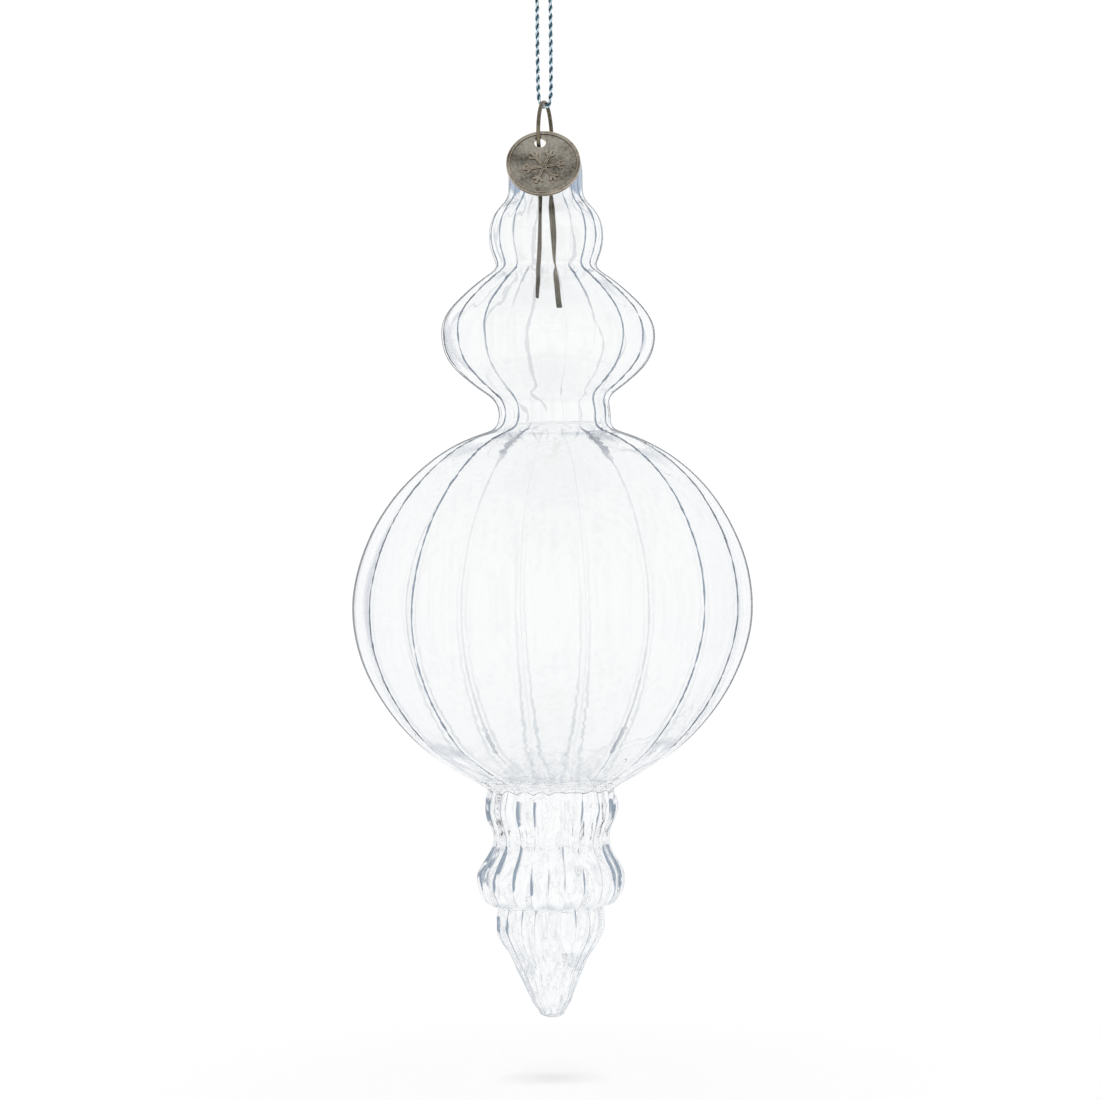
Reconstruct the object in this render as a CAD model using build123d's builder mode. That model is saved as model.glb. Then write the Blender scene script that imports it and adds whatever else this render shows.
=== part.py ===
from build123d import *
from math import cos, pi, radians, sin, tan
import os

os.makedirs("parts", exist_ok=True)

# A clear blown-glass icicle ornament: three hollow bulbs on one neck, and a solid glass drop fused
# under them. It hangs on a round wire loop whose two legs are sprung inside the neck. A stamped
# metal tag is threaded on the loop, and a thin cord runs through the loop up to a knot.
#
# Millimetres, +Z up, +X to the right of a person who faces the tag. The origin is the underside of
# the hanging loop's top, where a hook or a twig carries everything.

# Heights above and depths below the glass rim; the rim itself is this far under the origin.
rim_z = -54.1

# Glass
neck_radius = 7.4
neck_wall = 1.6
neck_depth = 7.9
lip_round = 0.75
bulb_wall = 1.2
second_neck_radius = 11.2
second_neck_top = 48.0
second_neck_bottom = 53.2
floor_depth = 122.3
drop_top = 125.6
drop_top_radius = 12.2
# Below each neck's outer end the bore runs straight this much further, to keep the wall even.
neck_bore_extra = 0.3
second_bore_extra = 1.0

# Each bulb is drawn through stations, from its top to its bottom: radius, depth below the rim, and
# how far the wall leans out as it goes down, in degrees from straight down.
small_bulb = [(7.45, 8.1, 48), (10.2, 10.9, 34), (11.5, 15.7, 0), (9.4, 21.8, -38)]
medium_bulb = [
    (9.4, 21.8, 62),
    (15.8, 26.4, 48),
    (21.4, 34.8, 0),
    (20.1, 40.2, -30),
    (16.0, 44.4, -50),
    (11.3, 47.8, -56),
]
large_bulb = [
    (11.6, 54.0, 76),
    (24.3, 59.9, 53),
    (32.5, 68.1, 36),
    (40.0, 89.6, 0),
    (29.1, 114.0, -43),
    (drop_top_radius, drop_top, -62),
]
# The solid drop: a knob, a waist, a bell with a stepped lower edge, and a long cone.
knob = [
    (drop_top_radius, drop_top, 35),
    (13.2, 128.9, 0),
    (11.3, 135.1, 4),
    (14.75, 143.7, 0),
    (12.6, 148.2, -62),
]
tip_cone = [(10.5, 148.6, 30), (11.1, 152.4, 0), (8.0, 158.8, -29), (4.3, 167.0, -23), (2.7, 169.6, -40)]
tip_depth = 170.9

# Hanger wire: a round loop seen from the side, with two legs that go down inside the glass.
wire_radius = 0.4
loop_top = 11.05
loop_yaw = 11.0  # the loop's plane is turned this far from the YZ plane
# Each leg from the loop down: distance from the axis, height above the rim.
leg_points = [(6.71, 2.05), (4.45, -1.75), (5.2, -8.2), (7.6, -21.6), (10.2, -28.4)]
leg_bends = [3.0, 12.0, 10.0]

# Tag
tag_radius = 7.3
plate_thickness = 0.6
relief = 0.15
tag_hole_radius = 1.15
hole_to_centre = 4.8
tag_lean = 26.0  # from upright, top back and bottom forward, as it rests on the neck's lip
tag_yaw = 2.0  # the tag faces this far from straight ahead
tag_turn = 8.0  # the tag is turned this far in its own plane, bottom to the right
# From the wire to the centre of the hole, in the tag's plane and out of it.
tag_right = 0.3
tag_up = 0.1
tag_forward = 0.08
border_width = 0.65
# A raised six-armed snowflake: a bar for each arm, with a barb to each side of it.
motif_drop = 0.9
motif_radius = 4.1
motif_bar = 0.5
barb_place = 2.54
barb_length = 1.24
barb_width = 0.4
barb_angle = 50

# Cord
cord_radius = 0.45
knot_height = 36.6
knot_radius = 2.25
knot_end_radius = 1.8
knot_half_height = 1.8
# The route of the long loop, from the knot down, under the wire and up again: x, height.
cord_route = [(-1.3, 35.6), (-1.38, 15.6), (-1.1, 10.15), (1.1, 10.15), (1.38, 15.6), (1.3, 35.6)]
# The route of the short loop above the knot.
hang_route = [
    (-0.8, 37.6),
    (-2.3, 43.4),
    (-3.1, 49.4),
    (-2.2, 54.55),
    (2.2, 54.55),
    (3.1, 49.4),
    (2.3, 43.4),
    (0.8, 37.6),
]


def wall_edges(stations, inset):
    """A smooth curve through the stations, moved inwards from the outer surface by inset."""
    places = []
    directions = []
    for radius, depth, lean in stations:
        out, down = sin(radians(lean)), -cos(radians(lean))
        places.append((radius + inset * down, rim_z - depth - inset * out))
        directions.append((out, down))
    return Spline(*places, tangents=directions)


def bend_radii(route):
    """The largest radius that each corner's two runs allow."""
    corners = [Vector(*point) for point in route]
    radii = []
    for before, corner, after in zip(corners, corners[1:], corners[2:]):
        half_turn = radians((corner - before).get_angle(after - corner)) / 2
        shorter = min((corner - before).length, (after - corner).length)
        radii.append(0.45 * shorter / tan(half_turn))
    return radii


def raised(route):
    """Route points with their heights measured from the origin."""
    return [(x, rim_z + height) for x, height in route]


# Blown glass bulbs: the outer surface turned as one solid, then the hollow taken out of it.
with BuildPart() as glass_bulbs:
    with BuildSketch(Plane.XZ):
        with BuildLine():
            Line((0, rim_z), (neck_radius, rim_z))
            Line((neck_radius, rim_z), (neck_radius, rim_z - neck_depth))
            upper = wall_edges(small_bulb, 0)
            Line((neck_radius, rim_z - neck_depth), upper @ 0)
            middle = wall_edges(medium_bulb, 0)
            Line(middle @ 1, (second_neck_radius, rim_z - second_neck_top))
            neck_end = (second_neck_radius, rim_z - second_neck_bottom)
            Line((second_neck_radius, rim_z - second_neck_top), neck_end)
            lower = wall_edges(large_bulb, 0)
            Line(neck_end, lower @ 0)
            Line(lower @ 1, (0, rim_z - drop_top))
            Line((0, rim_z - drop_top), (0, rim_z))
        make_face()
    revolve(axis=Axis.Z)
    with BuildSketch(Plane.XZ):
        with BuildLine():
            bore = neck_radius - neck_wall
            bore_end = rim_z - neck_depth - neck_bore_extra
            second_bore = second_neck_radius - bulb_wall
            second_bore_end = rim_z - second_neck_bottom - second_bore_extra
            Line((0, rim_z), (bore, rim_z))
            Line((bore, rim_z), (bore, bore_end))
            upper = wall_edges(small_bulb, bulb_wall)
            Line((bore, bore_end), upper @ 0)
            middle = wall_edges(medium_bulb, bulb_wall)
            Line(upper @ 1, middle @ 0)
            Line(middle @ 1, (second_bore, rim_z - second_neck_top))
            Line((second_bore, rim_z - second_neck_top), (second_bore, second_bore_end))
            lower = wall_edges(large_bulb[:-1], bulb_wall)
            Line((second_bore, second_bore_end), lower @ 0)
            floor = Spline(lower @ 1, (0, rim_z - floor_depth), tangents=(lower % 1, (-1, 0)))
            Line(floor @ 1, (0, rim_z))
        make_face()
    revolve(axis=Axis.Z, mode=Mode.SUBTRACT)
    rim_edges = glass_bulbs.edges().filter_by(GeomType.CIRCLE).group_by(Axis.Z)[-1]
    fillet(rim_edges, lip_round)
glass_bulbs.part.label = "glass_bulbs"

# The solid glass drop, fused to the flat under the large bulb.
with BuildPart() as glass_drop:
    with BuildSketch(Plane.XZ):
        with BuildLine():
            top = wall_edges(knob, 0)
            cone = wall_edges(tip_cone, 0)
            Line((0, rim_z - drop_top), top @ 0)
            Line(top @ 1, cone @ 0)
            tip = Spline(cone @ 1, (0, rim_z - tip_depth), tangents=(cone % 1, (-1, 0)))
            Line(tip @ 1, (0, rim_z - drop_top))
        make_face()
    revolve(axis=Axis.Z)
glass_drop.part.label = "glass_drop"

# The hanger wire, bent in one upright plane through the glass's axis.
front = Vector(-sin(radians(loop_yaw)), -cos(radians(loop_yaw)), 0)
wire_plane = Plane(origin=(0, 0, rim_z), x_dir=front, z_dir=front.cross(Vector(0, 0, 1)))
with BuildPart() as hanger_wire:
    with BuildLine(wire_plane) as wire_path:
        for side in (1, -1):
            FilletPolyline([(side * u, height) for u, height in leg_points], radius=leg_bends)
        ThreePointArc(leg_points[0], (0, loop_top), (-leg_points[0][0], leg_points[0][1]))
    wire_start = wire_path.wires()[0]
    with BuildSketch(Plane(origin=wire_start @ 0, z_dir=wire_start % 0)):
        Circle(wire_radius)
    sweep(path=wire_start)
hanger_wire.part.label = "hanger_wire"

# The tag, threaded on the front of the loop and leaning on the neck's lip. Its hole is wider than
# the wire, so it hangs a little to the right of the wire.
tag_front = Vector(-sin(radians(tag_yaw)), -cos(radians(tag_yaw)), 0)
tag_across = Vector(cos(radians(tag_yaw)), -sin(radians(tag_yaw)), 0)
tag_normal = tag_front * cos(radians(tag_lean)) + Vector(0, 0, sin(radians(tag_lean)))
wire_at_tag = front * leg_points[0][0] + Vector(0, 0, rim_z + leg_points[0][1])
wire_at_tag_plane = Plane(origin=wire_at_tag, x_dir=tag_across, z_dir=tag_normal)
hole_centre = wire_at_tag_plane.from_local_coords((tag_right, tag_up, tag_forward))
tag_rise = tag_normal.cross(tag_across)
tag_side = tag_across * cos(radians(tag_turn)) + tag_rise * sin(radians(tag_turn))
tag_plane = Plane(origin=hole_centre, x_dir=tag_side, z_dir=tag_normal)
plate_back = -(plate_thickness + relief) / 2
with BuildPart() as tag:
    with BuildSketch(tag_plane.offset(plate_back)):
        with Locations((0, -hole_to_centre)):
            Circle(tag_radius)
        Circle(tag_hole_radius, mode=Mode.SUBTRACT)
    extrude(amount=plate_thickness)
    with BuildSketch(tag_plane.offset(plate_back + plate_thickness)):
        with Locations((0, -hole_to_centre)):
            Circle(tag_radius)
            Circle(tag_radius - border_width, mode=Mode.SUBTRACT)
        with Locations((0, -hole_to_centre - motif_drop)):
            with PolarLocations(motif_radius / 2, 6):
                Rectangle(motif_radius, motif_bar)
            for turn in (-barb_angle, barb_angle):
                with PolarLocations(barb_place, 6):
                    with Locations(Location((0, 0, 0), (0, 0, turn))):
                        with Locations((barb_length / 2, 0)):
                            Rectangle(barb_length, barb_width)
    extrude(amount=relief)
tag.part.label = "tag"

# The knot that ties the two strands together, drawn as the barrel that its turns fill.
with BuildPart() as cord_knot:
    with BuildSketch(Plane.XZ):
        with BuildLine():
            knot_top = rim_z + knot_height + knot_half_height
            knot_bottom = rim_z + knot_height - knot_half_height
            Line((0, knot_bottom), (knot_end_radius, knot_bottom))
            knot_middle = (knot_radius, rim_z + knot_height)
            ThreePointArc((knot_end_radius, knot_bottom), knot_middle, (knot_end_radius, knot_top))
            Line((knot_end_radius, knot_top), (0, knot_top))
            Line((0, knot_top), (0, knot_bottom))
        make_face()
    revolve(axis=Axis.Z)
cord_knot.part.label = "cord_knot"


def cord_tube(label, route):
    """A round tube along straight runs joined by tangent arcs."""
    radii = bend_radii(route)
    with BuildPart() as tube:
        with BuildLine(Plane.XZ) as line:
            FilletPolyline(raised(route), radius=radii)
        path = line.wires()[0]
        with BuildSketch(Plane(origin=path @ 0, z_dir=path % 0)):
            Circle(cord_radius)
        sweep(path=path)
    tube.part.label = label
    print(label, "radii", [round(radius, 2) for radius in radii], "length", round(path.length, 2))
    print(label, "volume over section times length", tube.part.volume / (pi * cord_radius**2 * path.length))
    return tube


cord = cord_tube("cord", cord_route)
hanging_loop = cord_tube("hanging_loop", hang_route)

for piece in (glass_bulbs, glass_drop, hanger_wire, tag, cord_knot, cord, hanging_loop):
    export_step(piece.part, f"parts/{piece.part.label}.step")
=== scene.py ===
import math
import bmesh
import bpy
from mathutils import Matrix, Vector, noise


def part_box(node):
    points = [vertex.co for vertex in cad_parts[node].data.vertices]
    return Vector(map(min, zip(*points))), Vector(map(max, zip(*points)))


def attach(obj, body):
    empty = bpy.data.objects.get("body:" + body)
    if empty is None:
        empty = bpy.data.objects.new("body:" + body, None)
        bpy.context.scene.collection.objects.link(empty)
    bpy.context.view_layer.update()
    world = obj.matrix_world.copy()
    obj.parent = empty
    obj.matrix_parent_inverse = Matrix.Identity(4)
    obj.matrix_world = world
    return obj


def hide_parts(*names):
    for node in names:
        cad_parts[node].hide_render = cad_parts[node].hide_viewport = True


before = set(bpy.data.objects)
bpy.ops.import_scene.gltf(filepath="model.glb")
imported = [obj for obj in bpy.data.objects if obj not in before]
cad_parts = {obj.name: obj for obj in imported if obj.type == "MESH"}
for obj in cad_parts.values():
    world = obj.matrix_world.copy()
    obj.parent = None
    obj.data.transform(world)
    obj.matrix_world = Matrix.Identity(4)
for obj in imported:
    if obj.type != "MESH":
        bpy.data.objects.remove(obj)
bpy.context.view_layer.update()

# A clear fluted blown-glass icicle ornament, in metres, in the CAD model's own frame. The glass's
# own sizes are in millimetres: radii, and depths below the rim.
MM = 0.001
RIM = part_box("glass_bulbs")[1].z  # height of the glass rim
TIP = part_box("glass_drop")[0].z


def at(height):
    """A height above the glass rim, in millimetres, as a height in the scene."""
    return RIM + height * MM


def new_object(name, mesh, body, slot, *replaced):
    piece = bpy.data.objects.new(name, mesh)
    bpy.context.scene.collection.objects.link(piece)
    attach(piece, body)
    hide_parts(*replaced)
    return piece


def smooth_mesh(name, verts, faces, marks):
    """A smooth-shaded mesh; marks holds a list of values for each attribute, one for each vertex."""
    mesh = bpy.data.meshes.new(name)
    mesh.from_pydata(verts, [], faces)
    for label, values in marks.items():
        mesh.attributes.new(label, "FLOAT", "POINT").data.foreach_set("value", values)
    mesh.polygons.foreach_set("use_smooth", [True] * len(mesh.polygons))
    mesh.update()
    return mesh


# ---------------------------------------------------------------- camera
EYE_LEVEL = -78.0  # mm, against the rim
DISTANCE = 0.66
VIEW_WIDTH = 0.2189
SENSOR = 36.0  # mm
ROLL = math.radians(0.55)

camera = bpy.data.objects.new("camera", bpy.data.cameras.new("camera"))
bpy.context.scene.collection.objects.link(camera)
camera.data.sensor_width = SENSOR
camera.data.lens = SENSOR * DISTANCE / VIEW_WIDTH
camera.data.clip_start = 0.01
camera.data.clip_end = 20.0
camera.location = (0.2 * MM, -DISTANCE, at(EYE_LEVEL))
camera.rotation_euler = (math.radians(90), ROLL, 0)
bpy.context.scene.camera = camera

# ---------------------------------------------------------------- cord
CORD_D = 0.9 * MM
PLY_R = 0.24 * MM
PLY_OFFSET = 0.212 * MM
PLY_PITCH = 3.5 * MM
PLY_STEP = 0.14 * MM
PLY_SIDES = 10

# The routes' points, as in the CAD model: x, height above the rim, in millimetres.
CORD_ROUTE = [(-1.3, 35.6), (-1.38, 15.6), (-1.1, 10.15), (1.1, 10.15), (1.38, 15.6), (1.3, 35.6)]
HANG_ROUTE = [
    (-0.8, 37.6),
    (-2.3, 43.4),
    (-3.1, 49.4),
    (-2.2, 54.55),
    (2.2, 54.55),
    (3.1, 49.4),
    (2.3, 43.4),
    (0.8, 37.6),
]


def route_line(points):
    """The smooth line of a route: a NURBS spline with the points as its control points."""
    curve = bpy.data.curves.new("route", "CURVE")
    curve.dimensions = "3D"
    curve.resolution_u = 48
    spline = curve.splines.new("NURBS")
    spline.points.add(len(points) - 1)
    for target, place in zip(spline.points, points):
        target.co = (*place, 1.0)
    spline.order_u = 3
    spline.use_endpoint_u = True
    holder = bpy.data.objects.new("route", curve)
    mesh = bpy.data.meshes.new_from_object(holder)
    line = [v.co.copy() for v in mesh.vertices]
    bpy.data.objects.remove(holder)
    return line


def evenly(line, step):
    """Points on a line at even steps."""
    lengths = [0.0]
    for a, b in zip(line, line[1:]):
        lengths.append(lengths[-1] + (b - a).length)
    count = max(2, round(lengths[-1] / step))
    points, k = [], 0
    for i in range(count + 1):
        s = lengths[-1] * i / count
        while k < len(line) - 2 and lengths[k + 1] < s:
            k += 1
        span = max(lengths[k + 1] - lengths[k], 1e-12)
        points.append(line[k].lerp(line[k + 1], min(max((s - lengths[k]) / span, 0), 1)))
    return points


def frames_along(points, side):
    """Each point with a side and an up direction, carried along the line without twist."""
    frames = []
    for i, point in enumerate(points):
        ahead = points[min(i + 1, len(points) - 1)] - points[max(i - 1, 0)]
        ahead.normalize()
        side = (side - ahead * side.dot(ahead)).normalized()
        frames.append((point, side.copy(), ahead.cross(side)))
    return frames


def plied_mesh(name, line, start_turn, start_side):
    """Two plies twisted round a line; marks say how far along, round and up on a crest each vertex is."""
    frames = frames_along(evenly(line, PLY_STEP), start_side)
    length = PLY_STEP * (len(frames) - 1)
    verts, faces = [], []
    marks = {"along": [], "round": [], "crest": []}
    for ply in range(2):
        base = len(verts)
        for i, (point, side, up) in enumerate(frames):
            along = length * i / (len(frames) - 1)
            turn = start_turn + math.pi * ply + 2 * math.pi * along / PLY_PITCH
            centre = point + (side * math.cos(turn) + up * math.sin(turn)) * PLY_OFFSET
            for j in range(PLY_SIDES):
                a = 2 * math.pi * j / PLY_SIDES
                verts.append(centre + (side * math.cos(a) + up * math.sin(a)) * PLY_R)
                marks["along"].append(along / PLY_PITCH + 3.7 * ply)
                marks["round"].append(j / PLY_SIDES)
                marks["crest"].append((1 + math.cos(a - turn)) / 2)
        for i in range(len(frames) - 1):
            for j in range(PLY_SIDES):
                k = (j + 1) % PLY_SIDES
                a, b = base + i * PLY_SIDES, base + (i + 1) * PLY_SIDES
                faces.append((a + j, a + k, b + k, b + j))
        faces.append(tuple(base + j for j in reversed(range(PLY_SIDES))))
        last = base + (len(frames) - 1) * PLY_SIDES
        faces.append(tuple(last + j for j in range(PLY_SIDES)))
    return smooth_mesh(name, verts, faces, marks)


def cord_piece(name, route, node, start_turn):
    line = route_line([Vector((x * MM, 0, at(height))) for x, height in route])
    mesh = plied_mesh(name, line, start_turn, Vector((0, 1, 0)))
    piece = new_object(name, mesh, "cord", "cord", node)
    return piece


cord = cord_piece("cord_strands", CORD_ROUTE, "cord", 0.4)
hanging_loop = cord_piece("cord_hanging_loop", HANG_ROUTE, "hanging_loop", 1.3)

KNOT_TURNS = 3
KNOT_STEPS = 240
KNOT_TUCK = 0.08  # the share of the line at each end that is tucked in
KNOT_START = 0.6  # radians


def knot_line():
    """The knot: the cord wound in a short barrel round the strands, its ends tucked in."""
    low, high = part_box("cord_knot")
    rise = (high.z - low.z) - CORD_D * 1.02
    turn_radius = (high.x - low.x) / 2 - CORD_D / 2 - 0.03 * MM
    line = []
    for i in range(KNOT_STEPS + 1):
        t = i / KNOT_STEPS
        tuck = min(1.0, t / KNOT_TUCK, (1 - t) / KNOT_TUCK)
        belly = 1 - 0.1 * (2 * t - 1) ** 2
        radius = turn_radius * (0.35 + 0.65 * math.sin(tuck * math.pi / 2)) * belly
        angle = 2 * math.pi * KNOT_TURNS * t + KNOT_START
        place = (radius * math.cos(angle), radius * math.sin(angle), rise * (t - 0.5))
        line.append((low + high) / 2 + Vector(place))
    return line


knot_mesh = plied_mesh("cord_knot_turns", knot_line(), 0.0, Vector((0, 0, 1)))
cord_knot = new_object("cord_knot_turns", knot_mesh, "cord", "cord", "cord_knot")

# ---------------------------------------------------------------- the glass's outline
# Stations of the outer surface: radius, depth below the rim, lean outwards in degrees. The bulbs'
# are as in the CAD model. The drop's are up to 0.5 mm fuller, since its creases go in.
SMALL_BULB = [(7.45, 8.1, 48), (10.2, 10.9, 34), (11.5, 15.7, 0), (9.4, 21.8, -38)]
MEDIUM_BULB = [
    (9.4, 21.8, 62),
    (15.8, 26.4, 48),
    (21.4, 34.8, 0),
    (20.1, 40.2, -30),
    (16.0, 44.4, -50),
    (11.3, 47.8, -56),
]
LARGE_BULB = [
    (11.6, 54.0, 76),
    (24.3, 59.9, 53),
    (32.5, 68.1, 36),
    (39.95, 89.6, 0),
    (29.1, 114.0, -43),
    (12.4, 125.5, -64),
]
KNOB = [(12.9, 125.9, 14), (13.5, 129.2, 0), (11.8, 135.6, 4), (14.9, 143.4, 0), (12.7, 148.1, -62)]
TIP_CONE = [(10.6, 148.8, 30), (11.0, 152.4, 0), (8.0, 158.8, -29), (4.3, 167.0, -23), (2.7, 169.5, -40)]
TIP_DEPTH = 170.85
TIP_STEPS = 8
BULB_WALL = 1.2
NECK_RADIUS = 7.38
NECK_WALL = 1.55
NECK_DEPTH = 7.9
NECK_STEPS = 12
LIP_REACH = 0.8
LIP_STEPS = 12
SECOND_NECK = 11.15
SECOND_NECK_TOP = 48.1
SECOND_NECK_FOOT = 53.2
SECOND_BORE_FOOT = 54.0
SECOND_NECK_STEPS = 8
HOLLOW_FOOT = (16.2, 122.0, -57)  # a station of the hollow's floor, where it leaves the bulb's side
HOLLOW_DEPTH = 123.3
DROP_TOP = 125.7  # where the drop is fused on
JOINT_REACH = 3  # how far up and down the joint is eased
SPAN_STEPS = 12  # points between two stations, and on the large bulb
LARGE_SPAN_STEPS = 16
BULB_STEP, BULB_ROUNDS = 0.45, 16  # how far apart the rings are, and how often their line is eased
DROP_STEP, DROP_ROUNDS = 0.4, 2
JOINT_STEP, JOINT_ROUNDS = 0.1, 120


def station_curve(stations, inset, steps):
    """Points through the stations, each span a smooth cubic with the stations' own directions."""
    places, directions = [], []
    for radius, depth, lean in stations:
        out, down = math.sin(math.radians(lean)), math.cos(math.radians(lean))
        places.append(Vector((radius - inset * down, depth + inset * out)))
        directions.append(Vector((out, down)))
    points = []
    for a, b, da, db in zip(places, places[1:], directions, directions[1:]):
        reach = (b - a).length
        for i in range(steps):
            t = i / steps
            h1, h2 = 2 * t**3 - 3 * t**2 + 1, t**3 - 2 * t**2 + t
            h3, h4 = -2 * t**3 + 3 * t**2, t**3 - t**2
            points.append(a * h1 + da * reach * h2 + b * h3 + db * reach * h4)
    points.append(places[-1])
    return points


def straight(radius, top, foot, steps):
    """Points straight down from one depth to another, both ends included."""
    return [Vector((radius, top + (foot - top) * i / steps)) for i in range(steps + 1)]


def softened(points, rounds):
    """The same line with its corners eased."""
    for _ in range(rounds):
        eased_line = [points[0]]
        for before, point, after in zip(points, points[1:], points[2:]):
            eased_line.append(point * 0.5 + (before + after) * 0.25)
        points = eased_line + [points[-1]]
    return points


def even_2d(points, step):
    line = [Vector((p.x, p.y, 0)) for p in points]
    return [Vector((p.x, p.y)) for p in evenly(line, step)]


def lip():
    """The rounded lip, from the inside of the neck over to the outside."""
    middle, half = NECK_RADIUS - NECK_WALL / 2, NECK_WALL / 2
    points = []
    for i in range(LIP_STEPS + 1):
        a = math.pi * i / LIP_STEPS
        points.append(Vector((middle - half * math.cos(a), LIP_REACH - LIP_REACH * math.sin(a))))
    return points


def outer_outline():
    """The outside of the glass, from the top of the lip to the tip."""
    line = lip()[LIP_STEPS // 2 :]
    line += straight(NECK_RADIUS, LIP_REACH, NECK_DEPTH, NECK_STEPS)[1:]
    line += station_curve(SMALL_BULB, 0, SPAN_STEPS)
    line += station_curve(MEDIUM_BULB, 0, SPAN_STEPS)
    line += straight(SECOND_NECK, SECOND_NECK_TOP, SECOND_NECK_FOOT, SECOND_NECK_STEPS)
    line += station_curve(LARGE_BULB, 0, LARGE_SPAN_STEPS)
    line = softened(even_2d(line, BULB_STEP), BULB_ROUNDS)
    drop = station_curve(KNOB, 0, SPAN_STEPS) + station_curve(TIP_CONE, 0, SPAN_STEPS)
    line += softened(even_2d(drop, DROP_STEP), DROP_ROUNDS)
    start = next(i for i, point in enumerate(line) if point.y > DROP_TOP - JOINT_REACH)
    end = next(i for i, point in enumerate(line) if point.y > DROP_TOP + JOINT_REACH)
    line[start:end] = softened(even_2d(line[start:end], JOINT_STEP), JOINT_ROUNDS)
    tip = line[-1]
    for i in range(1, TIP_STEPS + 1):
        a = math.pi / 2 * i / TIP_STEPS
        line.append(Vector((tip.x * math.cos(a), tip.y + (TIP_DEPTH - tip.y) * math.sin(a))))
    return line


def inner_outline():
    """The hollow, from the top of the lip to the middle of its floor."""
    line = list(reversed(lip()[: LIP_STEPS // 2 + 1]))
    bore_foot = NECK_DEPTH + LIP_REACH / 2
    line += straight(NECK_RADIUS - NECK_WALL, LIP_REACH, bore_foot, NECK_STEPS)[1:]
    line += station_curve(SMALL_BULB, BULB_WALL, SPAN_STEPS)
    line += station_curve(MEDIUM_BULB, BULB_WALL, SPAN_STEPS)
    line += straight(SECOND_NECK - BULB_WALL, SECOND_NECK_TOP, SECOND_BORE_FOOT, SECOND_NECK_STEPS)
    line += station_curve(LARGE_BULB[:-1], BULB_WALL, LARGE_SPAN_STEPS)
    side = (line[-1].x, line[-1].y, LARGE_BULB[-2][2])
    line += station_curve([side, HOLLOW_FOOT, (0, HOLLOW_DEPTH, -90)], 0, LARGE_SPAN_STEPS)[1:]
    return softened(even_2d(line, BULB_STEP), BULB_ROUNDS)


# ---------------------------------------------------------------- the glass's creases, and its marks, most of them painted shade
# Where the creases between the ribs are, in degrees to the right of straight ahead. The ribs are
# drawn by hand in the hot glass, so they aren't quite even.
CREASES = [-170, -148, -124, -104, -84, -63.5, -42, -25, -8.5]
CREASES += [8.5, 26.5, 46.5, 65, 84.5, 106, 126, 146, 168]
# Each rib's columns of vertices, as shares of the way from its first crease to its second.
RIB_SPLIT = [0, 0.03, 0.08, 0.16, 0.27, 0.4, 0.5, 0.6, 0.73, 0.84, 0.92, 0.97]
# The creases' bold strokes, like their lines, are painted shade in the glass's tint.
BOLD_CREASES = (1, 7, 10, 15)  # the ones with a bold stroke on the shoulder and the foot
BOLD_DEPTHS = [(56, 60.5), (112, 117)]
BOLD_EXTRA = 0.25

# The tables below give a value at each depth, and blend() eases between their rows.
# How far the hand-made glass wanders to the right of its neck's axis. The neck, where the wire's
# legs are, is straight.
CROOKED = [(0, 0), (30, 0), (37, 0.3), (46, 0.4), (51, 1.4), (56, 1.0), (61, 1.1), (76, 0.8), (90, 0.6)]
CROOKED += [(104, 0.4), (127, 0.1), (148, -0.3), (158, -0.6), (171, -0.3)]
# How deep the creases are, as a share of the radius.
FLUTE = [(0, 0.002), (8, 0.005), (118, 0.005), (128, 0.045), (148, 0.05), (153, 0.03), (171, 0.02)]
# Half the width of the painted shade line that a crease makes, as it is seen.
LINE = [(0, 0.12), (9, 0.17), (110, 0.18), (119, 0.04), (123, 0.04), (126, 0.08), (153, 0.08), (171, 0.03)]
# How strongly a crease's painted line shows where it faces straight out: only on the shoulder and the
# foot.
FACING_LINE = [(0, 0), (55.5, 0), (57, 0.7), (59, 0.7), (60.5, 0)]
FACING_LINE += [(111, 0), (113, 0.6), (115.5, 0.6), (118, 0)]
# How far, in degrees, the creases are drawn together at the front, against the large bulb's.
GATHER = [(0, 8), (18, 8), (35, 6), (60, 0), (124, 0)]
# How much the glass greys for its own thickness.
THICK = [(0, 0.4), (8, 0.4), (11, 0), (112, 0), (128, 0.12)]
# How strongly each crease's soft pair of painted shade lines shows, where the wall thickens to the foot.
PETAL = [(0, 0), (70, 0), (96, 0.35), (112, 0.8), (122, 0.5), (127, 0)]
# How much of the edge's painted dark line there is; little where the wall turns under, at the joint.
EDGE = [(0, 1), (108, 1), (114, 0.9), (121, 0.15), (128, 0.15), (131, 1), (145, 1), (147, 0.4)]
EDGE += [(150, 0.4), (153, 1), (171, 1)]
# The drop's creases swell into bold strokes of painted shade on the knob, the bell and the cone: depths
# and half-width.
STROKES = [(126.8, 132, 1.3), (136.5, 145.5, 1.8), (149.5, 153, 0.5)]

# Painted shade: a slate-blue shade painted down the straight neck's sides.
NECK_SHADE = 8.3  # how far down the neck its slate-blue shade reaches, at its points
NECK_SHADE_TOP = 0.6
NECK_SHADE_RISE = 0.085  # how much less it reaches for each degree away from a point
NECK_SHADE_SOFT = 0.5
# The edge's dark line is painted shade.
EDGE_WIDTH = 0.12  # width of the edge's dark line on the axis, and its growth with the radius
EDGE_GROWTH = 0.006
WIDEST_EDGE = 0.24  # a cosine
HOLLOW_EDGE = 0.35  # the hollow's line, against the outside's
HOLLOW_FLOOR_EDGE = 0.02  # the same by its floor
HOLLOW_FLOOR_FROM = 100
BELL_SCALLOP = (147.3, 3)  # depth of the bell's scalloped edge, and how far it reaches up and down
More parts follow.
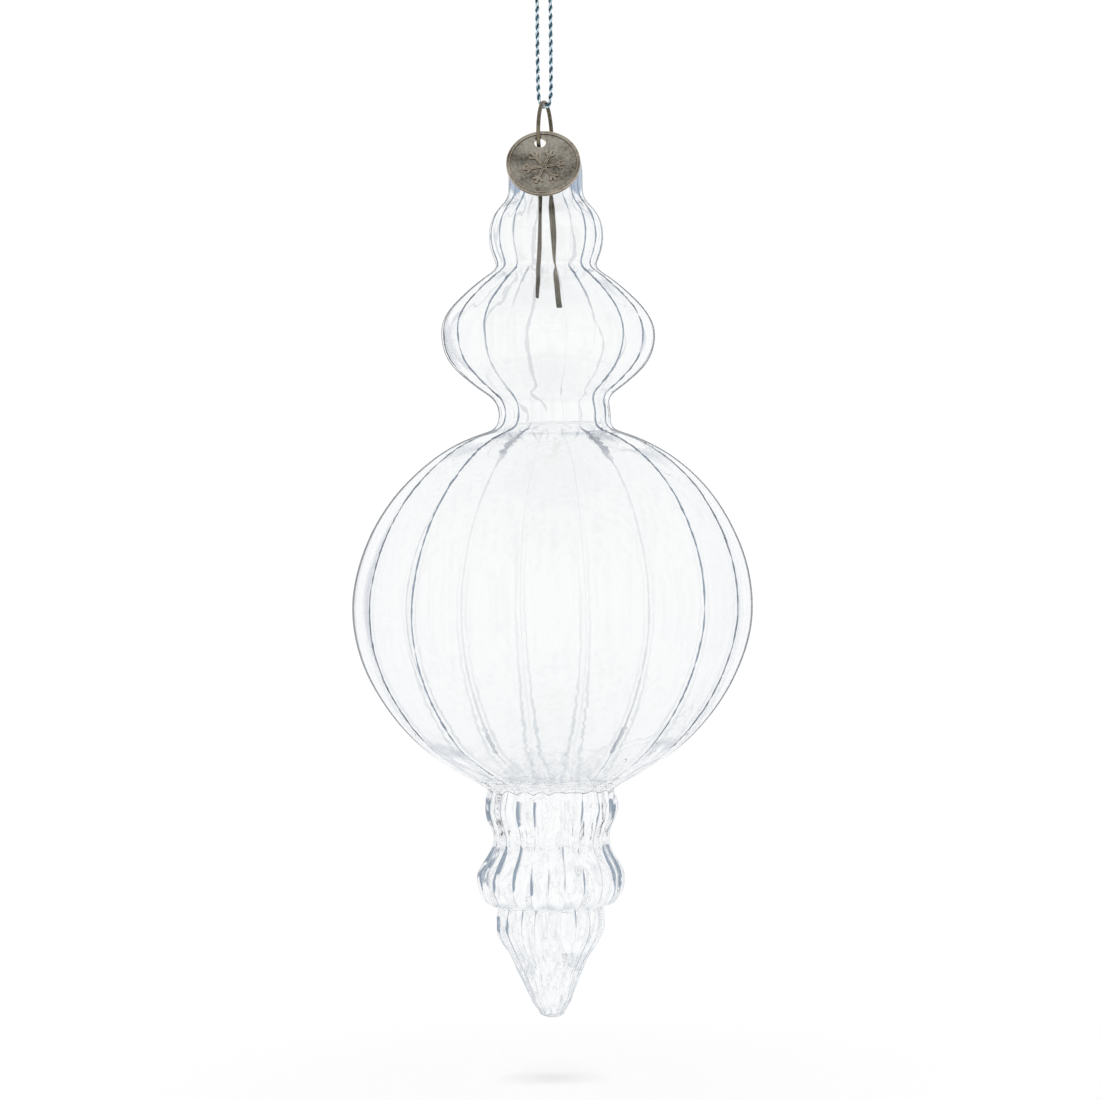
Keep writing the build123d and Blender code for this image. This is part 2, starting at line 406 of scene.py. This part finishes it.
# The grey mark on the bell's rim is painted shade.
BELL_RIM = (147.9, 1.1)  # the same of the grey mark on it
SEAM_REACH = 3.5  # how far the joint's scalloped edge reaches
SEAM_SHARE = 1.1  # how deep its scallops are, against the bell's
UNEVEN_FROM = 117  # the drop is worked by hand, and its unevenness sets in over this stretch
UNEVEN_TO = 125
RIPPLED = (8, 36)  # depths between which the wall is rippled, so that the wire is seen bent
WAVE, RIPPLE, DENT = 0.03, 0.024, 0.35  # how far the waves, the ripples and the drop's dents go in
NO_CREASE = 9  # a distance to the next crease that is past every line's width


def blend(table, depth):
    """The value at a depth, eased between the rows of a table of depths and values."""
    for (d0, v0), (d1, v1) in zip(table, table[1:]):
        if depth <= d1:
            t = max(0, (depth - d0) / (d1 - d0))
            return v0 + (v1 - v0) * (3 * t * t - 2 * t**3)
    return table[-1][1]


def share_of(value, low, high):
    """0 up to low and 1 from high."""
    return min(1, max(0, (value - low) / (high - low)))


def near_to(depth, centre, reach):
    """1 at a depth and 0 from a reach away."""
    return max(0, 1 - abs(depth - centre) / reach)


def noise_round(ring, scale, *apart):
    """Noise round the glass, between -1 and 1; apart is a vector that sets it apart from other noise."""
    return noise.noise(ring * scale + Vector(apart))


def painted_line_width(depth, crease):
    """Half the width of the painted shade line of a crease, which is given by its number."""
    width = blend(LINE, depth)
    for start, end, bold in STROKES:
        chance = noise.noise(Vector((crease * 3.1, start, 4.0)))
        late = 1.4 * noise.noise(Vector((crease * 2.3, start, 9.0)))
        along = (depth - start - late) / (end - start)
        if 0 < along < 1:
            swell = math.sin(math.pi * along**0.7) ** 0.6
            width += bold * share_of(0.45 + 1.5 * chance, 0, 1) * swell
    if crease in BOLD_CREASES and any(start < depth < end for start, end in BOLD_DEPTHS):
        width += BOLD_EXTRA
    return width


def neck_shade(depth, angle):
    """1 where the straight neck's painted shade lies: it ends in a point every 60 degrees."""
    from_point = abs((math.degrees(angle) - 30) % 60 - 30)
    foot = NECK_SHADE - NECK_SHADE_RISE * from_point
    return share_of(foot - depth, 0, NECK_SHADE_SOFT) if depth > NECK_SHADE_TOP else 0


def painted_edge_cosine(radius, depth):
    """The cosine at which the edge's painted dark line ends, so that the line is nearly as wide on every
    bulb.
    """
    width = EDGE_WIDTH + EDGE_GROWTH * radius
    return min(WIDEST_EDGE, math.sqrt(2 * width / max(radius, 1))) * blend(EDGE, depth)


def wall_radius(radius, depth, ring, crown, ribbed):
    """The radius at one place: creases go in, and the surface is uneven. Crown is 1 on a rib's middle."""
    uneven = share_of(depth, UNEVEN_FROM, UNEVEN_TO)
    worked = 1 + uneven * 0.9 * noise_round(ring, 3.3, 7, 0, depth * 0.1)
    crease = blend(FLUTE, depth) * worked * (1 - crown) * radius if ribbed else 0
    wave = WAVE * (noise_round(ring, 2.2, 0, 0, depth * 0.08) - 1)
    if RIPPLED[0] < depth < RIPPLED[1]:
        wave += RIPPLE * noise_round(ring, 5.5, 4, 0, depth * 0.3)
    wave += uneven * DENT * min(0, noise_round(ring, 4.1, 0, 0, depth * 0.25) - 0.3)
    return radius - crease * min(1, radius / 5) + wave * even_fade(radius, depth)


def even_fade(radius, depth):
    """0 at the lip and on the axis, where the surface stays even, and 1 elsewhere."""
    return min(1, radius / 4) * min(1, max(0, depth - 7) / 4)


def turned(angle, radius, depth):
    """Where round the glass a column is at a depth: the ribs waver, and gather to the front."""
    uneven = share_of(depth, UNEVEN_FROM, UNEVEN_TO)
    waver = math.radians(0.7) * math.sin(depth * 0.07 + 3 * angle) * even_fade(radius, depth)
    gather = math.radians(blend(GATHER, depth)) * (0.35 - math.sin(angle))
    return angle + waver + (gather + math.radians(5) * uneven * (1 - math.sin(angle)))


def lowered(depth, ring, crown, ribbed):
    """The depth at one place: rings wander on the drop, and are scalloped at the joint and the bell."""
    uneven = share_of(depth, UNEVEN_FROM, UNEVEN_TO)
    lower = depth + 0.35 * uneven * noise_round(ring, 4, 0, 3, depth * 0.15)
    if ribbed:
        rib = 0.5 * (crown - 0.6)
        lower += near_to(depth, *BELL_SCALLOP) * (rib + 0.6 * noise_round(ring, 5, 0, 0, 0))
        seam = SEAM_SHARE * near_to(depth, DROP_TOP, SEAM_REACH)
        lower -= seam * (rib + 0.6 * noise_round(ring, 5, 0, 0, 2))
    return lower


def rib_columns():
    """Columns of vertices: angle, share of the way across the rib, the rib's angle, its number."""
    columns = []
    for number, (start, end) in enumerate(zip(CREASES, CREASES[1:] + [CREASES[0] + 360])):
        for share in RIB_SPLIT:
            angle = math.radians(start + (end - start) * share)
            columns.append((angle, share, math.radians(end - start), number))
    return columns


COLUMNS = rib_columns()


def rings(line, ribbed):
    """Rings of vertices down a line, and for each vertex the values that the glass's material reads."""
    verts, rows = [], []
    for i, point in enumerate(line):
        depth = point.y
        ahead = line[min(i + 1, len(line) - 1)] - line[max(i - 1, 0)]
        level = max(0.3, abs(ahead.y) / ahead.length)
        widths = [painted_line_width(depth, crease) for crease in range(len(CREASES))]
        outline = painted_edge_cosine(point.x, depth)
        if not ribbed:
            outline *= HOLLOW_EDGE if depth < HOLLOW_FLOOR_FROM else HOLLOW_FLOOR_EDGE
        for angle, share, rib_angle, number in COLUMNS:
            crown = math.sin(math.pi * share)
            ring = Vector((math.cos(angle), math.sin(angle), 0))
            radius = wall_radius(point.x, depth, ring, crown, ribbed)
            a = turned(angle, point.x, depth)
            x = blend(CROOKED, depth) + radius * math.sin(a)
            height = at(-lowered(depth, ring, crown, ribbed))
            verts.append(Vector((x * MM, -radius * math.cos(a) * MM, height)))
            crease = number if share < 0.5 else (number + 1) % len(CREASES)
            patch = 0.7 + 0.9 * noise_round(ring, 6, 0, 5, 0)
            rows.append({
                "crease": min(share, 1 - share) * rib_angle * radius if ribbed else NO_CREASE,
                "line": widths[crease],
                "facing_line": blend(FACING_LINE, depth) * (crease in BOLD_CREASES),
                "outline": outline,
                "thick": blend(THICK, depth) if ribbed else 0,
                "level": level,
                "slate": neck_shade(depth, angle) if ribbed else 0,
                "inside": 0 if ribbed else 1,
                "drop": share_of(depth, UNEVEN_FROM, UNEVEN_TO),
                "petal": blend(PETAL, depth) * (1 + 0.8 * noise_round(ring, 4, 0, 8, 0)),
                "rim": patch * near_to(depth, *BELL_RIM),
            })
    return verts, rows


def ring_faces(first, ring_count, flip):
    n = len(COLUMNS)
    faces = []
    for i in range(ring_count - 1):
        upper, lower = first + i * n, first + (i + 1) * n
        for j in range(n):
            k = (j + 1) % n
            quad = (upper + j, upper + k, lower + k, lower + j)
            faces.append(tuple(reversed(quad)) if flip else quad)
    return faces


def closing_faces(ring, end, flip):
    """Triangles from a ring, given by its first vertex, to one end vertex."""
    n = len(COLUMNS)
    faces = [(ring + j, ring + (j + 1) % n, end) for j in range(n)]
    return [(b, a, c) for a, b, c in faces] if flip else faces


def on_axis(depth):
    return Vector((blend(CROOKED, depth) * MM, 0, at(-depth)))


def finial_mesh():
    """The whole glass: its outside and its hollow, joined at the lip, closed at the tip and the floor."""
    n = len(COLUMNS)
    outer_line, inner_line = outer_outline(), inner_outline()
    verts, rows = rings(outer_line[:-1], True)
    inner_verts, inner_rows = rings(inner_line[1:-1], False)
    inner_first, tip = len(verts), len(verts) + len(inner_verts)
    faces = ring_faces(0, len(outer_line) - 1, True)
    faces += ring_faces(inner_first, len(inner_line) - 2, False)
    faces += [(j, inner_first + j, inner_first + (j + 1) % n, (j + 1) % n) for j in range(n)]
    faces += closing_faces(inner_first - n, tip, True)
    faces += closing_faces(tip - n, tip + 1, False)
    verts += inner_verts + [on_axis(TIP_DEPTH), on_axis(inner_line[-1].y)]
    all_rows = rows + inner_rows + [rows[-1], inner_rows[-1]]
    marks = {label: [row[label] for row in all_rows] for label in rows[0]}
    mesh = smooth_mesh("glass_finial", verts, faces, marks)
    bm = bmesh.new()
    bm.from_mesh(mesh)
    bmesh.ops.recalc_face_normals(bm, faces=bm.faces)
    bm.to_mesh(mesh)
    bm.free()
    return mesh


glass = new_object("glass_finial", finial_mesh(), "glass", "glass", "glass_bulbs", "glass_drop")


# ---------------------------------------------------------------- materials
def material(name):
    """A new material, with its node tree and its shader."""
    made = bpy.data.materials.new(name)
    made.use_nodes = True
    return made, made.node_tree, made.node_tree.nodes["Principled BSDF"]


def ramp(tree, factor, stops):
    """The colour for a factor, from places and colours."""
    node = tree.nodes.new("ShaderNodeValToRGB")
    while len(node.color_ramp.elements) < len(stops):
        node.color_ramp.elements.new(0.5)
    for element, (place, colour) in zip(node.color_ramp.elements, stops):
        element.position = place
        element.color = (*colour, 1)
    tree.links.new(factor, node.inputs["Fac"])
    return node.outputs["Color"]


def maths(tree, operation, first, second):
    """A math node's result; each input is a number or another node's output."""
    node = tree.nodes.new("ShaderNodeMath")
    node.operation = operation
    for socket, value in zip(node.inputs, (first, second)):
        if isinstance(value, (int, float)):
            socket.default_value = value
        else:
            tree.links.new(value, socket)
    return node.outputs["Value"]


def times(tree, first, second):
    return maths(tree, "MULTIPLY", first, second)


def eased(tree, value, low, high):
    """0 at low and 1 at high, eased at both ends."""
    node = tree.nodes.new("ShaderNodeMapRange")
    node.interpolation_type = "SMOOTHSTEP"
    tree.links.new(value, node.inputs["Value"])
    node.inputs["From Min"].default_value = low
    node.inputs["From Max"].default_value = high
    return node.outputs["Result"]


def attribute(tree, name):
    node = tree.nodes.new("ShaderNodeAttribute")
    node.attribute_name = name
    return node.outputs["Fac"]


def object_place(tree):
    return tree.nodes.new("ShaderNodeTexCoord").outputs["Object"]


def stretched(tree, place, scale):
    node = tree.nodes.new("ShaderNodeMapping")
    node.inputs["Scale"].default_value = scale
    tree.links.new(place, node.inputs["Vector"])
    return node.outputs["Vector"]


def noise_texture(tree, place, scale, detail, roughness=0.5, distortion=0.0):
    node = tree.nodes.new("ShaderNodeTexNoise")
    node.inputs["Scale"].default_value = scale
    node.inputs["Detail"].default_value = detail
    node.inputs["Roughness"].default_value = roughness
    node.inputs["Distortion"].default_value = distortion
    tree.links.new(place, node.inputs["Vector"])
    return node.outputs["Fac"]


def tinted(tree, mask, base, colour):
    """The base colour, and another colour where the mask is 1."""
    node = tree.nodes.new("ShaderNodeMix")
    node.data_type = "RGBA"
    tree.links.new(mask, node.inputs["Factor"])
    tree.links.new(base, node.inputs["A"])
    node.inputs["B"].default_value = (*colour, 1)
    return node.outputs["Result"]


def bumped(tree, shader, height, strength, distance):
    node = tree.nodes.new("ShaderNodeBump")
    node.inputs["Strength"].default_value = strength
    node.inputs["Distance"].default_value = distance
    tree.links.new(height, node.inputs["Height"])
    tree.links.new(node.outputs["Normal"], shader.inputs["Normal"])


def streaked(tree, tint, place, drop):
    """Faint streaks, drawn down the glass as it was blown, and fine grey fringes in the drop."""
    streaks = noise_texture(tree, stretched(tree, place, (700, 700, 18)), 1.0, 2)
    strength = maths(tree, "ADD", times(tree, drop, 0.3), 0.12)
    streak = times(tree, eased(tree, streaks, 0.52, 0.7), strength)
    tint = tinted(tree, streak, tint, (0.6, 0.64, 0.68))
    swirls = noise_texture(tree, stretched(tree, place, (330, 330, 120)), 1.0, 3, distortion=0.6)
    fringes = maths(tree, "PINGPONG", times(tree, swirls, 9), 1.0)
    fringe = times(tree, eased(tree, fringes, 0.3, 0.02), times(tree, drop, 0.3))
    return tinted(tree, fringe, tint, (0.3, 0.35, 0.4))


def painted_petal_lines(tree, across, drift):
    """Two soft lines of painted shade beside each crease, where the wall is thick."""
    beside = maths(tree, "DIVIDE", across, 0.95)
    beside = maths(tree, "ADD", beside, times(tree, drift, 0.4))
    pair = times(tree, eased(tree, beside, 0.55, 0.9), eased(tree, beside, 1.35, 1.0))
    return times(tree, times(tree, pair, attribute(tree, "petal")), 0.8)


def painted_line_darkness(tree, sideways, drop, leaving, arriving):
    """How dark a crease's painted shade line is: where the wall turns away, and faintly through the back
    wall.
    """
    turned_away = maths(tree, "SUBTRACT", sideways, times(tree, drop, 0.1))
    front = times(tree, eased(tree, turned_away, 0.06, 0.24), arriving)
    deep = maths(tree, "MAXIMUM", front, attribute(tree, "facing_line"))
    back = maths(tree, "SUBTRACT", times(tree, leaving, 0.48), drop)
    return maths(tree, "MAXIMUM", deep, back)


def glass_material():
    made, tree, shader = material("clear_fluted_glass")
    shader.inputs["Transmission Weight"].default_value = 1.0
    shader.inputs["IOR"].default_value = 1.5
    facing = tree.nodes.new("ShaderNodeLayerWeight")
    facing.inputs["Blend"].default_value = 0.5
    cosine = maths(tree, "SUBTRACT", 1.0, facing.outputs["Facing"])
    leaving = tree.nodes.new("ShaderNodeNewGeometry").outputs["Backfacing"]
    arriving = maths(tree, "SUBTRACT", 1.0, leaving)
    place = object_place(tree)
    drop = attribute(tree, "drop")
    # How far the wall is turned to the side, whatever its slope up or down.
    level = maths(tree, "DIVIDE", cosine, attribute(tree, "level"))
    sideways = maths(tree, "SUBTRACT", 1.0, level)
    # The wall greys a little as it turns away and is seen through more of its thickness.
    greys = [(0.0, (0.962, 0.966, 0.966)), (0.45, (0.955, 0.96, 0.964)), (0.75, (0.88, 0.89, 0.92))]
    tint = ramp(tree, sideways, greys)
    tint = tinted(tree, attribute(tree, "thick"), tint, (0.86, 0.89, 0.92))
    tint = streaked(tree, tint, place, drop)
    # Painted shade: slate-blue down the straight neck's sides.
    shade = times(tree, attribute(tree, "slate"), eased(tree, sideways, 0.2, 0.3))
    tint = tinted(tree, shade, tint, (0.17, 0.24, 0.37))
    # A crease shows as a thin, slightly ragged slate line of painted shade.
    across = times(tree, attribute(tree, "crease"), maths(tree, "ADD", cosine, 0.1))
    nearness = maths(tree, "DIVIDE", across, attribute(tree, "line"))
    ragged = noise_texture(tree, stretched(tree, place, (800, 800, 450)), 1.0, 1)
    drift = times(tree, maths(tree, "SUBTRACT", ragged, 0.5), 2.6)
    line = eased(tree, maths(tree, "ADD", nearness, drift), 1.25, 0.7)
    line = times(tree, line, painted_line_darkness(tree, sideways, drop, leaving, arriving))
    # Painted shade: a soft pair of lines beside each crease.
    tint = tinted(tree, painted_petal_lines(tree, across, drift), tint, (0.42, 0.48, 0.54))
    tint = tinted(tree, line, tint, (0.1, 0.15, 0.22))
    # Painted shade: the edge, where the eye looks along the wall, is a dark line painted in the glass's
    # tint, with a fainter one inside it.
    edge = eased(tree, maths(tree, "DIVIDE", cosine, attribute(tree, "outline")), 1.1, 0.7)
    tint = tinted(tree, edge, tint, (0.46, 0.54, 0.62))
    hollow_edge_shade = times(tree, leaving, attribute(tree, "inside"))
    hollow_edge_shade = times(tree, hollow_edge_shade, eased(tree, cosine, 0.765, 0.752))
    tint = tinted(tree, hollow_edge_shade, tint, (0.3, 0.35, 0.42))
    # Painted shade: the grey mark on the bell's rim.
    tint = tinted(tree, attribute(tree, "rim"), tint, (0.42, 0.48, 0.54))
    tree.links.new(tint, shader.inputs["Base Color"])
    # The painted dark lines are rough, so that they don't shine white where the glass is seen edge on.
    rough = times(tree, maths(tree, "MAXIMUM", edge, times(tree, line, arriving)), 0.5)
    tree.links.new(rough, shader.inputs["Roughness"])
    return made


def worn_edge_glint_mask(tree):
    """1 on a corner: worn bare metal, and, where its colour is bright, a painted glint."""
    rounded = tree.nodes.new("ShaderNodeBevel")
    rounded.samples = 6
    rounded.inputs["Radius"].default_value = 0.16 * MM
    geometry = tree.nodes.new("ShaderNodeNewGeometry")
    match = tree.nodes.new("ShaderNodeVectorMath")
    match.operation = "DOT_PRODUCT"
    tree.links.new(rounded.outputs["Normal"], match.inputs[0])
    tree.links.new(geometry.outputs["Normal"], match.inputs[1])
    return eased(tree, match.outputs["Value"], 0.99, 0.9)


def patina_material(name, dark, bright, worn_edge_glint_colour, roughness):
    """Aged metal: fine mottling; bare metal on worn edges, on the tag bright enough to be a painted glint
    too; near black wherever ambient occlusion finds a hollow or a corner.
    """
    made, tree, shader = material(name)
    shader.inputs["Metallic"].default_value = 0.9
    place = object_place(tree)
    mottle = noise_texture(tree, place, 1700, 8, roughness=0.65)
    cloud = noise_texture(tree, place, 170, 2)
    blotch = maths(tree, "ADD", times(tree, cloud, 0.6), times(tree, mottle, 0.4))
    tint = ramp(tree, blotch, [(0.4, dark), (0.6, bright)])
    # Worn bare metal on the corners; the tag's bright colour there is also a painted glint.
    tint = tinted(tree, worn_edge_glint_mask(tree), tint, worn_edge_glint_colour)
    # Near black where ambient occlusion finds the surface hemmed in: in hollows, corners and where parts
    # come close.
    hollow = tree.nodes.new("ShaderNodeAmbientOcclusion")
    hollow.inputs["Distance"].default_value = 0.5 * MM
    occluded_darkening = eased(tree, hollow.outputs["AO"], 0.94, 0.66)
    tint = tinted(tree, occluded_darkening, tint, (0.012, 0.01, 0.008))
    tree.links.new(tint, shader.inputs["Base Color"])
    rough = tree.nodes.new("ShaderNodeMapRange")
    rough.inputs["To Min"].default_value = roughness - 0.06
    rough.inputs["To Max"].default_value = roughness + 0.1
    tree.links.new(mottle, rough.inputs["Value"])
    tree.links.new(rough.outputs["Result"], shader.inputs["Roughness"])
    bumped(tree, shader, mottle, 0.2, 0.03 * MM)
    return made


def cord_material():
    """Metallic thread: a painted highlight on the plies' crests and painted shade in the groove between
    them, broken up by noise.
    """
    made, tree, shader = material("silver_blue_cord")
    shader.inputs["Metallic"].default_value = 0.6
    shader.inputs["Roughness"].default_value = 0.25
    mix = tree.nodes.new("ShaderNodeCombineXYZ")
    tree.links.new(attribute(tree, "along"), mix.inputs["X"])
    tree.links.new(attribute(tree, "round"), mix.inputs["Y"])
    grain = noise_texture(tree, mix.outputs["Vector"], 7, 3)
    lit = maths(tree, "ADD", times(tree, attribute(tree, "crest"), 0.38), times(tree, grain, 0.9))
    cord_shade_to_highlight = [(0.48, (0.01, 0.02, 0.03)), (0.64, (0.08, 0.16, 0.21)), (0.76, (0.3, 0.48, 0.57))]
    tint = ramp(tree, lit, cord_shade_to_highlight + [(0.86, (0.95, 0.98, 1.0))])
    tree.links.new(tint, shader.inputs["Base Color"])
    bumped(tree, shader, grain, 1.0, 0.04 * MM)
    return made


glass.data.materials.append(glass_material())
cord_look = cord_material()
for piece in (cord, hanging_loop, cord_knot):
    piece.data.materials.append(cord_look)
# Dark, bright and worn-edge colours; the tag's bright worn-edge colour is partly a painted glint.
WIRE_COLOURS = (0.07, 0.058, 0.04), (0.2, 0.17, 0.12), (0.3, 0.25, 0.17)
TAG_COLOURS = (0.085, 0.076, 0.058), (0.38, 0.345, 0.285), (0.95, 0.72, 0.5)
wire_look = patina_material("antique_wire", *WIRE_COLOURS, roughness=0.36)
tag_look = patina_material("antique_tag", *TAG_COLOURS, roughness=0.28)
for node, look in (("hanger_wire", wire_look), ("tag", tag_look)):
    node_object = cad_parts[node]
    node_object.data.materials.clear()
    node_object.data.materials.append(look)

# ---------------------------------------------------------------- floor, world and light
FLOOR_GAP = 12 * MM
FLOOR_RADIUS = 4
SUN_WIDTH = math.radians(4.5)
SUN_STRENGTH = 1.05
BOUNCES = 64

floor_mesh = bpy.data.meshes.new("floor")
level_place = Matrix.Translation((0, 0, TIP - FLOOR_GAP))
bm = bmesh.new()
bmesh.ops.create_circle(bm, cap_ends=True, radius=FLOOR_RADIUS, segments=96, matrix=level_place)
bm.to_mesh(floor_mesh)
bm.free()
floor = bpy.data.objects.new("floor", floor_mesh)
bpy.context.scene.collection.objects.link(floor)
floor_look, _, shader = material("pale_floor")
shader.inputs["Base Color"].default_value = (0.81, 0.8, 0.79, 1)
shader.inputs["Roughness"].default_value = 1.0
shader.inputs["Specular IOR Level"].default_value = 0.0
shader.inputs["Emission Color"].default_value = (1, 1, 1, 1)
shader.inputs["Emission Strength"].default_value = 0.02
floor_mesh.materials.append(floor_look)

world = bpy.data.worlds.new("studio")
bpy.context.scene.world = world
world.use_nodes = True
tree = world.node_tree
direction = tree.nodes.new("ShaderNodeTexCoord")
split = tree.nodes.new("ShaderNodeSeparateXYZ")
tree.links.new(direction.outputs["Generated"], split.inputs["Vector"])
sky_stops = [(0.0, (1, 1, 1)), (0.5, (1, 1, 1)), (0.8, (0.86, 0.88, 0.9))]
sky_stops += [(0.92, (0.8, 0.83, 0.87)), (0.97, (0.5, 0.54, 0.6))]
sky = ramp(tree, split.outputs["Z"], sky_stops)
tree.links.new(sky, tree.nodes["Background"].inputs["Color"])
tree.nodes["Background"].inputs["Strength"].default_value = 1.0

# A narrow sun from above casts the tag's and the wire's shadow. The glass casts none and doesn't show it.
sun = bpy.data.lights.new("top", "SUN")
sun.angle = SUN_WIDTH
sun.energy = SUN_STRENGTH
lamp = bpy.data.objects.new("top", sun)
bpy.context.scene.collection.objects.link(lamp)
lamp.rotation_euler = Vector((0.0, -0.04, 1)).to_track_quat("Z", "Y").to_euler()
lamp.visible_glossy = False
lamp.visible_transmission = False
glass.visible_shadow = False

bpy.context.scene.view_settings.view_transform = "Standard"
bpy.context.scene.view_settings.exposure = 0.05
bpy.context.scene.cycles.max_bounces = BOUNCES
bpy.context.scene.cycles.transmission_bounces = BOUNCES
bpy.context.scene.cycles.glossy_bounces = BOUNCES
